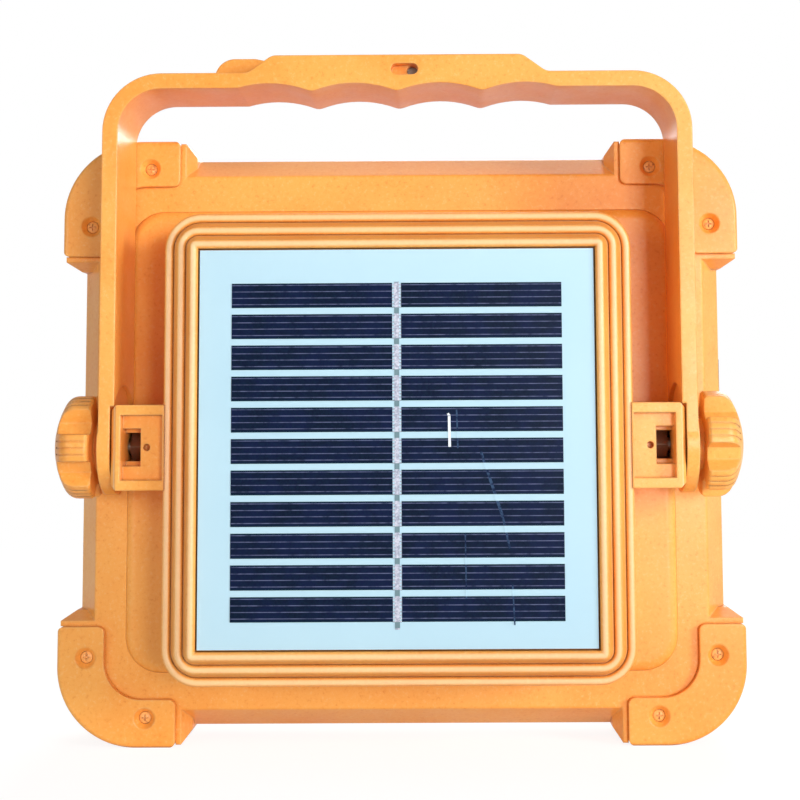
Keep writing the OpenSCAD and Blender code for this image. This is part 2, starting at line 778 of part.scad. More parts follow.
// The stepped wall, with x measured from the outer face of the box.
module box_wall_profile() translate([-box_run, 0]) {
    last = ridge_count - 1;
    ridges = [
        for (k = [0:last], e = [0, 1]) [k * ridge_pitch + e * ridge_w, ridge_top(k) + bead_r]
    ];
    polygon(concat(ridges, [
        [box_run, plate_y], [box_run - box_wall, plate_y],
        [box_run - box_wall, ridge_top(last) + 4], [0.9, rim_y + 6], [0, rim_y + 6]
    ]));
    for (k = [0:last]) translate([k * ridge_pitch + bead_r, ridge_top(k) + bead_r]) circle(bead_r);
}

// The block that carries one hinge bolt, on the +X side.
module bracket() {
    rim = plate_y - bracket_rise;
    inner = box_w / 2 - 0.5;
    corner_r = 2.2;
    slab(rim, plate_y) {
        translate([inner, -bracket_h / 2]) square([bracket_x - corner_r - inner, bracket_h]);
        translate([inner, -bracket_h / 2 + corner_r]) square([bracket_x - inner, bracket_h - 2 * corner_r]);
        for (z = [-1, 1]) translate([bracket_x - corner_r, z * (bracket_h / 2 - corner_r)]) circle(corner_r);
    }
}

module bracket_cuts() {
    rim = plate_y - bracket_rise;
    floor_y = rim + recess_depth;
    slot_half = 5.4;
    trap = nut_af + 0.2;
    span = pocket_end - box_w / 2;
    slab(rim - 1, floor_y) translate([box_w / 2, -bracket_h / 2 + bracket_rim])
        square([span, bracket_h - 2 * bracket_rim]);
    slab(floor_y - 1, floor_y + 4.4) translate([pocket_x, -slot_half])
        square([pocket_end - pocket_x, 2 * slot_half]);
    slab(floor_y + 4.3, pivot_y + trap / sqrt(3) + 0.2) translate([pocket_x, -trap / 2])
        square([pocket_end - pocket_x, trap]);
    translate([0, pivot_y, 0]) bar_x(thread_r + 0.2, nut_x - 4, bracket_x + 1);
    translate([nut_x - 1.9, 0, 0]) bar_y(1, floor_y - 1, floor_y + 3);
    // the outer edges are bevelled where the arm passes them
    bevel = bracket_bevel * sqrt(2);
    for (z = [-1, 1]) translate([bracket_x, rim, z * bracket_h / 2]) rotate([0, 45, 0])
        cube([bevel, 2 * (bracket_rise - guard_rise), bevel], center = true);
    translate([bracket_x, rim, 0]) rotate([0, 0, 45])
        cube([bevel, bevel, bracket_h + 2], center = true);
}

// What the round edge takes off the base flange.
module base_edge_waste() difference() {
    edge_r = (base_edge * base_edge + guard_rise * guard_rise) / (2 * guard_rise);
    translate([-base_edge, lip_y - 1]) square([base_edge + 1, guard_rise + 1]);
    translate([-base_edge, lip_y + edge_r]) circle(edge_r, $fn = 96);
}

module solar_box() color(orange) difference() {
    union() {
        at_box() {
            sweep(box_w, box_w, box_r) box_wall_profile();
            // ledge under the laminate
            slab(panel_y + panel_t, panel_y + panel_t + ledge_t)
                ring(opening + 3, opening + 3, 1, ledge_w + 1.5);
            for (s = [-1, 1]) side(s) bracket();
            for (x = [-1, 1], z = [-1, 1]) translate([x * box_screw_xz, 0, z * box_screw_xz])
                bar_y(box_boss_r, ridge_top(ridge_count - 1) + 3, plate_y);
        }
        difference() {
            at_body() slab(lip_y, plate_y) rounded(base_w, base_h, base_r);
            at_body() sweep(base_w, base_h, base_r) base_edge_waste();
            at_box() slab(lip_y - 1, plate_y + 1) rounded(cavity_w, cavity_w, box_r - box_wall);
        }
    }
    at_box() {
        for (s = [-1, 1]) side(s) bracket_cuts();
        for (x = [-1, 1], z = [-1, 1]) translate([x * box_screw_xz, 0, z * box_screw_xz])
            bar_y(screw_r + 0.02, plate_y - box_screw_len - 2, plate_y + 1);
    }
}

module solar_box_seal() color(black) at_box() slab(plate_y, plate_y + 0.7)
    ring(box_w - 0.8, box_w - 0.8, box_r - 0.4, 1.4);

module solar_box_screws() color(steel) at_box() for (x = [-1, 1], z = [-1, 1])
    translate([x * box_screw_xz, 0, z * box_screw_xz]) {
        bar_y(screw_r, plate_y - box_screw_len, plate_y + shell_t);
        bar_y(screw_r + 1.25, plate_y + shell_t, plate_y + shell_t + 1.6);
    }

module solar_laminate() color([0.80, 0.92, 0.97]) at_box()
    slab(panel_y, panel_y + panel_t) square(panel_size, center = true);

module solar_cells() color([0.08, 0.10, 0.22]) at_box() translate([0, 0, -cell_drop])
    slab(panel_y - foil_t, panel_y) for (j = [0:cell_rows - 1], s = [-1, 1]) {
        half = (cell_w - cell_split) / 2;
        translate([s * (cell_split + half) / 2, (j - (cell_rows - 1) / 2) * cell_pitch])
            square([half, cell_h], center = true);
    }

module busbar_ribbon() color([0.68, 0.70, 0.74]) at_box() translate([0, 0, -cell_drop - 0.9])
    slab(panel_y - foil_t, panel_y) square([ribbon_w, cell_rows * cell_pitch + 0.6], center = true);

// ---------- battery ----------

battery_step = 2 * battery_r + 1.2;
battery_y = plate_y - battery_r - 1.5;
cradle_end = 3;
link_w = 7;

module battery_spots() at_box() for (k = [0:battery_count - 1])
    translate([(k - (battery_count - 1) / 2) * battery_step, battery_y, 0]) children();

module battery_cells() color([0.20, 0.45, 0.70]) battery_spots() {
    cylinder(r = battery_r, h = battery_len - 1.5, center = true);
    translate([0, 0, battery_len / 2 - 0.75 - eps]) cylinder(r = 2.8, h = 0.75 + eps);
}

module battery_cradle() color(black) difference() {
    w = battery_count * battery_step + 4;
    deep = battery_r + 1.5;
    at_box() translate([-w / 2, battery_y, -battery_len / 2 - cradle_end])
        cube([w, deep, battery_len + 2 * cradle_end]);
    battery_spots() cylinder(r = battery_r + 0.02, h = battery_len + 2.4, center = true);
    // channels for the links
    at_box() for (s = [-1, 1]) translate([-w / 2 + 0.8, battery_y - 1, s * (battery_len / 2 + 0.2) - 1])
        cube([w - 1.6, link_w / 2 + 1.3, 2]);
    // windows between the end walls save weight
    at_box() for (k = [0:battery_count - 2])
        translate([(k - (battery_count - 2) / 2) * battery_step - 1.5, battery_y - 1, -battery_len * 0.3])
            cube([3, deep + 2, battery_len * 0.6]);
}

module battery_links() color(steel) at_box() for (s = [-1, 1]) {
    w = battery_count * battery_step - 4;
    translate([-w / 2, battery_y - link_w / 2, s * (battery_len / 2 + (s > 0 ? 0.15 : -0.6)) - 0.15])
        cube([w, link_w, 0.3]);
}

// ---------- handle ----------

// The bent band with its grip, seen from behind.
module handle_outline() {
    inner_r = handle_r - band_t;
    difference() {
        union() {
            translate([-arm_x, box_z]) square([2 * arm_x, bar_top - handle_r]);
            translate([handle_r - arm_x, bar_z - handle_r]) square([2 * (arm_x - handle_r), handle_r]);
            for (s = [-1, 1]) translate([s * (arm_x - handle_r), bar_z - handle_r])
                circle(handle_r, $fn = 128);
            for (s = [0, 1]) mirror([s, 0]) grip_half_outline();
        }
        // the opening, with round shoulders under the bar
        translate([-inner_x, box_z - 1]) square([2 * inner_x, bar_under - inner_r - box_z + 1]);
        translate([inner_r - inner_x, bar_under - inner_r - 1])
            square([2 * (inner_x - inner_r), inner_r + 1]);
        for (s = [-1, 1]) translate([s * (inner_x - inner_r), bar_under - inner_r])
            circle(inner_r, $fn = 128);
    }
}

// One half of the raised grip: a flat top, a round bend, a slope and a fillet at its foot.
module grip_half_outline() {
    lean = atan(grip_rise / grip_slope);
    run = grip_bend * tan(lean / 2);
    foot_x = grip_half + grip_slope;
    polygon([
        [-eps, bar_z - 1], [-eps, grip_z], [grip_half - run, grip_z],
        [grip_half + run * cos(lean), grip_z - run * sin(lean)], [foot_x, bar_z], [foot_x, bar_z - 1]
    ]);
    translate([grip_half - run, grip_z - grip_bend]) intersection() {
        circle(grip_bend);
        translate([0, grip_bend / 2]) square(grip_bend);
    }
    difference() {
        polygon([
            [foot_x - run * cos(lean), bar_z + run * sin(lean)], [foot_x + run, bar_z], [foot_x, bar_z - 1],
            [foot_x - run, bar_z - 1]
        ]);
        translate([foot_x + run, bar_z + grip_bend]) circle(grip_bend);
    }
}

// The circles of the finger grooves.
module finger_grooves() for (k = [0:finger_count - 1])
    translate([(2 * k - finger_count + 1) * finger_pitch / 2, groove_z]) circle(groove_r, $fn = 180);

// The pad under the grip, with finger grooves and round cusps between them. Each cusp's circle
// touches the circles of the two grooves beside it.
module finger_pad() {
    cusp_up = sqrt(pow(groove_r + cusp_r, 2) - pow(finger_pitch / 2, 2));
    pad_z = groove_z + cusp_up * groove_r / (groove_r + cusp_r);
    pad_half = (finger_count - 1) * finger_pitch / 2;
    difference() {
        translate([-pad_half, pad_z]) square([2 * pad_half, bar_under + finger_rise + 1 - pad_z]);
        finger_grooves();
    }
    for (k = [1:finger_count - 1])
        translate([(k - finger_count / 2) * finger_pitch, groove_z + cusp_up]) circle(cusp_r);
}

module handle() color(orange) difference() {
    y0 = pivot_y - band_w / 2;
    y1 = pivot_y + band_w / 2;
    union() {
        slab(y0, y1) {
            difference() {
                handle_outline();
                finger_grooves();
            }
            finger_pad();
        }
        for (s = [-1, 1]) side(s) at_pivot() bar_x(boss_r, boss_x, boss_x + boss_t);
    }
    for (s = [-1, 1]) side(s) at_pivot() {
        // relief beside the bracket, and bore
        bar_x(relief_r, inner_x - 1, boss_x);
        bar_x(shoulder_r + run_gap, boss_x - 1, boss_x + boss_t + 1);
    }
    // trough of the folded hook
    translate([nose_x - nose_r - hook_gap, pivot_y - trough_w / 2, trough_floor])
        cube([pin_x + eye_r - nose_x + nose_r + 2 * hook_gap, trough_w, grip_z - trough_floor + 1]);
    translate([pin_x, 0, pin_z]) bar_y(eye_r + hook_gap, pivot_y - trough_w / 2, pivot_y + trough_w / 2);
    // slot in the near face, and the bore of the hook's pin
    slab(y0 - 1, y0 + slot_depth) translate([slot_x, pin_z]) {
        square([slot_len - slot_h, slot_h], center = true);
        for (s = [-1, 1]) translate([s * (slot_len - slot_h) / 2, 0]) circle(slot_h / 2);
    }
    translate([pin_x, 0, pin_z]) bar_y(pin_r + 0.02, y0, y1 - 3);
}

module hanging_hook() color(orange) difference() {
    y0 = pivot_y - hook_t / 2;
    mouth_x = nose_x + mouth_in;
    corner_r = mouth_w / 4;
    slab(y0, y0 + hook_t) difference() {
        union() {
            translate([pin_x, pin_z]) circle(eye_r);
            polygon([
                [pin_x, hook_under], [pin_x, pin_z + eye_r], [nose_x + 22, grip_z - 0.2],
                [nose_x + 11, grip_z + 0.2], [nose_x + 6, nose_z + nose_r], [nose_x, nose_z + nose_r],
                [nose_x, hook_under]
            ]);
            translate([nose_x, nose_z]) circle(nose_r, $fn = 128);
        }
        // flat underside, except round the eye
        difference() {
            translate([nose_x - 20, hook_under - 20]) square([pin_x - nose_x + 20, 20]);
            translate([pin_x, pin_z]) circle(eye_r);
        }
        // mouth
        translate([mouth_x - mouth_w / 2, hook_under - 1]) square([mouth_w, mouth_h + 1 - corner_r]);
        for (s = [-1, 1]) translate([mouth_x + s * (mouth_w / 2 - corner_r), hook_under + mouth_h - corner_r])
            circle(corner_r);
        translate([mouth_x - mouth_w / 2 + corner_r, hook_under]) square([mouth_w - 2 * corner_r, mouth_h]);
    }
    translate([pin_x, 0, pin_z]) bar_y(pin_r + run_gap, y0 - 1, y0 + hook_t + 1);
}

module hook_pin() color(steel) translate([pin_x, 0, pin_z])
    bar_y(pin_r, pivot_y - band_w / 2 + pin_inset, pivot_y + band_w / 2 - 3);

// ---------- clamps ----------

// Half section of the lobed part: a shallow dome with a rounded shoulder.
module knob_section() {
    dome_r = 26;
    edge_r = 4.6;
    rise = knob_len - 0.4;
    centre = rise - dome_r;
    // where the edge circle touches the dome from inside
    cx = knob_r - edge_r;
    cy = centre + sqrt(pow(dome_r - edge_r, 2) - cx * cx);
    a0 = atan2(cy - centre, cx);
    polygon(concat(
        [[0, 0], [knob_r - 0.6, 0], [knob_r, 0.6]],
        [for (i = [0:6]) let (a = a0 * i / 6) [cx + edge_r * cos(a), cy + edge_r * sin(a)]],
        [for (i = [1:6]) let (a = a0 + (90 - a0) * i / 6) [dome_r * cos(a), centre + dome_r * sin(a)]]
    ));
}

module knob(turn) color(orange) difference() {
    union() {
        translate([lobe_x, 0, 0]) rotate([turn, 0, 0]) rotate([0, 90, 0]) rotate([0, 0, 90]) difference() {
            rotate_extrude($fn = 96) knob_section();
            for (k = [0:lobe_count - 1]) rotate(360 / lobe_count * (k + 0.5)) translate([0, 0, -1])
                linear_extrude(knob_len + 2) valley();
            // three fine grip lines that follow the crown of each lobe
            difference() {
                for (k = [0:lobe_count - 1], g = [-1, 0, 1]) rotate(360 / lobe_count * k)
                    translate([knob_r / 2, g * lobe_half / 2 - 0.2, -1]) cube([knob_r, 0.4, knob_len - 1.6]);
                scale(1 - 0.25 / knob_r) rotate_extrude($fn = 96) knob_section();
            }
        }
        bar_x(7.5, hub_x, lobe_x + 1);
    }
    bar_x(shoulder_r, hub_x - 1, hub_x + bolt_seat);
    translate([hub_x + bolt_seat - eps, 0, 0]) rotate([0, 90, 0])
        cylinder(r = bolt_head_r, h = bolt_head_t + eps, $fn = 6);
}

module valley() {
    half_out = knob_r * sin(180 / lobe_count - asin(lobe_half / knob_r));
    outer = knob_r * cos(180 / lobe_count - asin(lobe_half / knob_r));
    floor_half = 1.8;
    grow = (half_out - floor_half) / (outer - valley_r) * 4;
    polygon([[valley_r, -floor_half], [outer, -half_out], [outer + 4, -half_out - grow],
        [outer + 4, half_out + grow], [outer, half_out], [valley_r, floor_half]]);
}

module bolt() color(steel) {
    bar_x(thread_r, nut_x - 0.8, boss_x);
    bar_x(shoulder_r, boss_x, hub_x + bolt_seat);
    translate([hub_x + bolt_seat, 0, 0]) rotate([0, 90, 0])
        cylinder(r = bolt_head_r, h = bolt_head_t, $fn = 6);
}

module washer() color(steel) difference() {
    bar_x(7, washer_x, hub_x);
    bar_x(shoulder_r, washer_x - 1, hub_x + 1);
}

module nut() color(steel) difference() {
    translate([nut_x, 0, 0]) rotate([0, 90, 0]) rotate(30) cylinder(r = nut_af / sqrt(3), h = nut_t, $fn = 6);
    bar_x(thread_r + run_gap, nut_x - 1, nut_x + nut_t + 1);
}

module left_knob() side(-1) at_pivot() knob(0);
module right_knob() at_pivot() knob(knob_turn);
module left_bolt() side(-1) at_pivot() bolt();
module right_bolt() at_pivot() bolt();
module left_washer() side(-1) at_pivot() washer();
module right_washer() at_pivot() washer();
module left_nut() side(-1) at_pivot() nut();
module right_nut() at_pivot() nut();

rear_housing();
front_bezel();
housing_seal();
lens();
lens_seal();
reflector();
led_board();
led_packages();
control_board();
push_switch();
power_button();
charge_window();
port_plate();
usb_socket();
charge_socket();
port_flap();
solar_box();
solar_box_seal();
solar_box_screws();
solar_laminate();
solar_cells();
busbar_ribbon();
battery_cells();
battery_cradle();
battery_links();
guard_top_left();
guard_top_right();
guard_bottom_left();
guard_bottom_right();
guard_screws();
handle();
hanging_hook();
hook_pin();
left_knob();
right_knob();
left_bolt();
right_bolt();
left_washer();
right_washer();
left_nut();
right_nut();
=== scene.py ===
import json
import math

import bmesh
import bpy
from mathutils import Euler, Matrix, Vector

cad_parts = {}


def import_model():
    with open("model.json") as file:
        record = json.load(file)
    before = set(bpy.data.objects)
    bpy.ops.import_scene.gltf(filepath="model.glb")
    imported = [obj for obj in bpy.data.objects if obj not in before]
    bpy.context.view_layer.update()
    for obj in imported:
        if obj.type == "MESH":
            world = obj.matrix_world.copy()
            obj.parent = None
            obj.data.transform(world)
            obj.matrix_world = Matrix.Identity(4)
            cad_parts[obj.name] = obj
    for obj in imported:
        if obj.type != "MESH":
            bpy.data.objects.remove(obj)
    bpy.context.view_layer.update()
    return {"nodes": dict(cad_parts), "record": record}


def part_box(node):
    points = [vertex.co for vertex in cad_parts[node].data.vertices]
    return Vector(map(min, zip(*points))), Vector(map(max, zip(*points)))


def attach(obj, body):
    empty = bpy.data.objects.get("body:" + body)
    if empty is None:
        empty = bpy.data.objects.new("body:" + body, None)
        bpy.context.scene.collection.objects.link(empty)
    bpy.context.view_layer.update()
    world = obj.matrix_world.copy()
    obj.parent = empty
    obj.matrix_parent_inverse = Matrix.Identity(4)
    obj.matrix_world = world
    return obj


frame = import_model()
NODES = frame["nodes"]
MM = 0.001


# ---------- helpers ----------

def rgb(*srgb):
    """A colour given as it looks on a screen, 0 to 255, as linear RGBA."""
    out = []
    for c in srgb:
        c /= 255
        out.append(c / 12.92 if c <= 0.04045 else ((c + 0.055) / 1.055) ** 2.4)
    return (*out, 1.0)


def new_node(tree, kind, **settings):
    n = tree.nodes.new(kind)
    for key, value in settings.items():
        setattr(n, key, value)
    return n


def new_object(name, data):
    obj = bpy.data.objects.new(name, data)
    bpy.context.scene.collection.objects.link(obj)
    return obj


class Shader:
    """One material with a Principled shader, and short ways to add nodes to it."""

    def __init__(self, name, **values):
        self.mat = bpy.data.materials.new(name)
        self.mat.use_nodes = True
        self.tree = self.mat.node_tree
        self.out = self.tree.nodes["Material Output"]
        self.bsdf = self.tree.nodes["Principled BSDF"]
        for key, value in values.items():
            self.bsdf.inputs[key.replace("_", " ")].default_value = value
        self.where = self.node("ShaderNodeTexCoord").outputs["Object"]

    def node(self, kind, **settings):
        return new_node(self.tree, kind, **settings)

    def link(self, a, b):
        self.tree.links.new(a, b)

    def put(self, socket, value):
        if isinstance(value, bpy.types.NodeSocket):
            self.link(value, socket)
        elif value is not None:
            socket.default_value = value

    def set(self, name, value):
        self.put(self.bsdf.inputs[name], value)

    def noise(self, scale, detail=3.0, rough=0.5):
        """Noise from 0 to 1. The scale is in waves per metre."""
        n = self.node("ShaderNodeTexNoise")
        self.link(self.where, n.inputs["Vector"])
        n.inputs["Scale"].default_value = scale
        n.inputs["Detail"].default_value = detail
        n.inputs["Roughness"].default_value = rough
        return n.outputs["Fac"]

    def math(self, operation, a, b=None):
        n = self.node("ShaderNodeMath", operation=operation)
        self.put(n.inputs[0], a)
        self.put(n.inputs[1], b)
        return n.outputs[0]

    def band(self, value, low, high, to_low=0.0, to_high=1.0):
        """A smooth step from to_low to to_high while the value goes from low to high."""
        n = self.node("ShaderNodeMapRange", interpolation_type="SMOOTHSTEP")
        self.put(n.inputs["Value"], value)
        for key, v in (("From Min", low), ("From Max", high), ("To Min", to_low), ("To Max", to_high)):
            n.inputs[key].default_value = v
        return n.outputs["Result"]

    def mix(self, factor, a, b):
        n = self.node("ShaderNodeMix", data_type="RGBA")
        self.put(n.inputs["Factor"], factor)
        self.put(n.inputs["A"], a)
        self.put(n.inputs["B"], b)
        return n.outputs["Result"]

    def split(self):
        n = self.node("ShaderNodeSeparateXYZ")
        self.link(self.where, n.inputs[0])
        return n.outputs

    def bump(self, height, distance, strength=1.0, under=None):
        n = self.node("ShaderNodeBump")
        n.inputs["Strength"].default_value = strength
        n.inputs["Distance"].default_value = distance
        self.link(height, n.inputs["Height"])
        if under is not None:
            self.link(under, n.inputs["Normal"])
        return n.outputs["Normal"]

    def soft_edges(self, radius):
        n = self.node("ShaderNodeBevel", samples=4)
        n.inputs["Radius"].default_value = radius
        return n.outputs["Normal"]

    def edges(self, soft_normal):
        """1 where the softened normal leaves the true one, on edges, and 0 on flat faces."""
        on_edge, on_flat = 0.80, 0.99  # cosine of the angle between the two normals
        plain = self.node("ShaderNodeNewGeometry").outputs["Normal"]
        n = self.node("ShaderNodeVectorMath", operation="DOT_PRODUCT")
        self.link(soft_normal, n.inputs[0])
        self.link(plain, n.inputs[1])
        return self.band(n.outputs["Value"], on_edge, on_flat, 1.0, 0.0)

    def hollow_shade(self, reach):
        """Painted-shade mask from ambient occlusion: 0 in the open, up to 1 deep in seams and corners."""
        n = self.node("ShaderNodeAmbientOcclusion", samples=4)
        n.inputs["Distance"].default_value = reach
        return self.math("SUBTRACT", 1.0, n.outputs["AO"])

    def stripes(self, value, first, pitch):
        """Distance to the nearest of many lines, the first at one place and the rest a pitch apart."""
        pitches_below = 100  # keeps the modulo's input above 0
        shifted = self.math("ADD", value, (pitches_below + 0.5) * pitch - first)
        from_middle = self.math("SUBTRACT", self.math("MODULO", shifted, pitch), pitch / 2)
        return self.math("ABSOLUTE", from_middle)


# ---------- orange plastic ----------

ORANGE = rgb(252, 180, 86)
ORANGE_DEEP = rgb(247, 160, 64)
ORANGE_DARK = rgb(226, 122, 34)
ORANGE_PALE = rgb(255, 216, 150)
# Painted highlight: the pale cream laid along the crests of the solar box's ridges
CREST_HIGHLIGHT_PALE = rgb(255, 232, 190)
# Painted shade: the dark brown laid into seams and corners where shade falls
SEAM_SHADE_BROWN = rgb(150, 72, 22)

EDGE_R = 0.8 * MM
SEAM_SHADE_REACH = 1.6 * MM
GRAIN_DEPTH = 0.1 * MM

# The solar box's ridges stand one behind the other, from its rim towards the housing
RIM_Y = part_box("solar_box")[0][1]
RIDGE_DROP = 5.1 * MM
RIDGE_COUNT = 3
CREST_HALF = 0.45 * MM


def crest_highlight_mask(s):
    """1 along the crest of each ridge of the solar box, where a highlight is painted pale into the colour.
    """
    _, y, _ = s.split()
    crest = s.band(s.stripes(y, RIM_Y, RIDGE_DROP), 0.0, CREST_HALF, 1.0, 0.0)
    raised = s.math("LESS_THAN", y, RIM_Y + (RIDGE_COUNT - 0.5) * RIDGE_DROP)
    return s.math("MULTIPLY", crest, raised)


def orange_plastic(name="orange_abs", ridges=False):
    """Moulded ABS with a fine spark grain, paler along its edges as wear and as a painted highlight, and
    darkened in its seams and corners by painted shade.
    """
    s = Shader(name)
    s.set("Specular IOR Level", 0.45)
    cloud = s.band(s.noise(16.0, 5.0, 0.6), 0.36, 0.68)
    speck = s.noise(900.0, 4.0, 0.72)
    pale_speck = s.band(speck, 0.52, 0.74, 0.0, 0.35)
    dark_speck = s.band(speck, 0.46, 0.28, 0.0, 0.45)
    soft = s.soft_edges(EDGE_R)
    # Partly wear and partly a painted highlight: edges are lightened towards pale orange where the bevel
    # finds them
    wear_and_edge_highlight = s.math("MULTIPLY", s.edges(soft), s.band(s.noise(70.0, 4.0, 0.6), 0.35, 0.65))
    # Painted shade: the colour is darkened to brown where ambient occlusion finds seams and corners
    seam_shade = s.band(s.hollow_shade(SEAM_SHADE_REACH), 0.45, 0.95, 0.0, 0.75)
    col = s.mix(cloud, ORANGE, ORANGE_DEEP)
    col = s.mix(pale_speck, col, ORANGE_PALE)
    col = s.mix(dark_speck, col, ORANGE_DARK)
    col = s.mix(s.math("MULTIPLY", wear_and_edge_highlight, 0.6), col, ORANGE_PALE)
    if ridges:
        # Painted highlight: the ridges' crests are lightened in the colour
        col = s.mix(s.math("MULTIPLY", crest_highlight_mask(s), 0.5), col, CREST_HIGHLIGHT_PALE)
    s.set("Base Color", s.mix(seam_shade, col, SEAM_SHADE_BROWN))
    s.set("Roughness", s.band(s.noise(90.0, 4.0), 0.3, 0.7, 0.30, 0.38))
    s.set("Normal", s.bump(speck, GRAIN_DEPTH, 0.25, soft))
    return s.mat


# ---------- other plastics, rubber and metal ----------

SMALL_EDGE_R = 0.3 * MM
STEEL_EDGE_R = 0.2 * MM


def painted_screw():
    """Steel screw heads under the housing's paint, worn to dull metal in small spots."""
    s = Shader("painted_screw", Roughness=0.4)
    chip = s.band(s.noise(900.0, 4.0, 0.6), 0.56, 0.64)
    s.set("Base Color", s.mix(chip, rgb(252, 184, 104), rgb(206, 144, 92)))
    s.set("Normal", s.bump(s.noise(1800.0), 0.05 * MM, 0.5, s.soft_edges(SMALL_EDGE_R)))
    return s.mat


def black_plastic():
    s = Shader("black_abs", Base_Color=rgb(34, 34, 37))
    s.set("Roughness", s.band(s.noise(200.0, 4.0), 0.3, 0.7, 0.38, 0.55))
    s.set("Normal", s.bump(s.noise(1400.0), 0.08 * MM, 0.4, s.soft_edges(SMALL_EDGE_R)))
    return s.mat


def rubber():
    s = Shader("seal_rubber", Roughness=0.75)
    s.set("Base Color", s.mix(s.noise(60.0, 4.0), rgb(38, 38, 41), rgb(54, 54, 58)))
    s.set("Normal", s.bump(s.noise(1800.0), 0.06 * MM, 0.5, s.soft_edges(SMALL_EDGE_R)))
    return s.mat


def steel(name, tint, dull, rough):
    s = Shader(name, Metallic=1.0)
    s.set("Base Color", s.mix(s.noise(300.0, 4.0), tint, dull))
    s.set("Roughness", s.band(s.noise(700.0), 0.3, 0.7, rough - 0.06, rough + 0.08))
    s.set("Normal", s.bump(s.noise(2600.0, 2.0), 0.03 * MM, 0.4, s.soft_edges(STEEL_EDGE_R)))
    return s.mat


def window_milk():
    s = Shader("window_milk", Roughness=0.3)
    s.set("Base Color", s.mix(s.noise(80.0), rgb(226, 230, 228), rgb(212, 218, 216)))
    return s.mat


def green_board():
    s = Shader("board_green", Roughness=0.35)
    s.set("Base Color", s.mix(s.noise(300.0), rgb(20, 92, 46), rgb(30, 112, 60)))
    return s.mat


def cell_wrap():
    s = Shader("cell_wrap", Roughness=0.3)
    s.set("Base Color", s.mix(s.noise(60.0), rgb(38, 110, 176), rgb(30, 96, 160)))
    return s.mat


# ---------- lamp side ----------

LED_LOW, LED_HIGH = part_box("led_packages")
LED_SIDE = 3.5 * MM
LED_ROWS = 10
LED_STEP = (LED_HIGH[2] - LED_LOW[2] - LED_SIDE) / (LED_ROWS - 1)
TRACK_HALF = 0.6 * MM


def lens_clear():
    s = Shader("clear_lens", Base_Color=(0.93, 0.97, 0.99, 1), Roughness=0.03, IOR=1.49)
    s.set("Transmission Weight", 1.0)
    s.set("Normal", s.bump(s.noise(40.0, 2.0), 0.04 * MM, 0.2))
    return s.mat


def white_satin():
    s = Shader("reflector_white", Roughness=0.3)
    s.set("Base Color", s.mix(s.noise(30.0), rgb(236, 237, 238), rgb(222, 224, 226)))
    s.set("Normal", s.bump(s.noise(1200.0), 0.04 * MM, 0.3, s.soft_edges(SMALL_EDGE_R)))
    return s.mat


def led_board_white():
    """White solder mask over copper tracks that run along each row of LEDs."""
    s = Shader("board_mask", Roughness=0.35)
    _, _, z = s.split()
    track = s.math("LESS_THAN", s.stripes(z, LED_LOW[2] + LED_SIDE / 2, LED_STEP), TRACK_HALF)
    s.set("Base Color", s.mix(s.math("MULTIPLY", track, 0.35), rgb(238, 239, 240), rgb(214, 218, 220)))
    s.set("Normal", s.bump(track, 0.03 * MM, 0.5))
    return s.mat


def led_phosphor():
    s = Shader("led_phosphor", Roughness=0.25)
    s.set("Base Color", s.mix(s.noise(900.0), rgb(248, 219, 84), rgb(236, 192, 46)))
    return s.mat


# ---------- solar panel ----------

CELL_LOW, CELL_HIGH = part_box("solar_cells")
CELL_ROWS = 11
CELL_HEIGHT = 6.9 * MM
CELL_PITCH = (CELL_HIGH[2] - CELL_LOW[2] - CELL_HEIGHT) / (CELL_ROWS - 1)

# Fine printed fingers along each row. A finger's tone is full out to its core and ends at its edge.
FINGER_PITCH = 0.26 * CELL_HEIGHT
FINGER_FOOT = 0.14 * CELL_HEIGHT
FINGER_CORE = 0.07 * MM
FINGER_EDGE = 0.17 * MM


def height_in_row(s, pitches_below=0):
    """How far a point is above the foot of its row of cells, also this many pitches below the lowest row."""
    _, _, z = s.split()
    foot = CELL_LOW[2] - pitches_below * CELL_PITCH
    return s.math("MODULO", s.math("SUBTRACT", z, foot), CELL_PITCH)


def laminate():
    """The pale backing sheet, seen through a clear satin skin."""
    s = Shader("laminate", Roughness=0.34)
    s.set("Specular IOR Level", 0.3)
    tone = s.band(s.noise(9.0), 0.3, 0.7)
    s.set("Base Color", s.mix(tone, rgb(188, 222, 237), rgb(181, 217, 234)))
    s.set("Normal", s.bump(s.noise(250.0), 0.03 * MM, 0.25))
    return s.mat


def silicon():
    """Dark cells with fine printed fingers along each row and a dull margin round it."""
    s = Shader("silicon", Roughness=0.3)
    s.set("Specular IOR Level", 0.08)
    up = height_in_row(s)
    patch = s.band(s.noise(120.0, 3.0, 0.6), 0.36, 0.66)
    grain = s.band(s.noise(1500.0, 2.0, 0.7), 0.35, 0.7)
    from_middle = s.math("ABSOLUTE", s.math("SUBTRACT", up, CELL_HEIGHT / 2))
    rim = s.band(from_middle, 0.43 * CELL_HEIGHT, 0.49 * CELL_HEIGHT)
    finger = s.band(s.stripes(up, FINGER_FOOT, FINGER_PITCH), FINGER_CORE, FINGER_EDGE, 1.0, 0.0)
    broken = s.band(s.noise(260.0, 4.0, 0.7), 0.30, 0.62, 0.10, 0.62)
    col = s.mix(patch, rgb(6, 20, 44), rgb(12, 24, 60))
    col = s.mix(s.math("MULTIPLY", grain, 0.35), col, rgb(16, 42, 62))
    col = s.mix(s.math("MULTIPLY", rim, 0.7), col, rgb(18, 52, 62))
    col = s.mix(s.math("MULTIPLY", finger, broken), col, rgb(118, 126, 166))
    s.set("Base Color", col)
    return s.mat


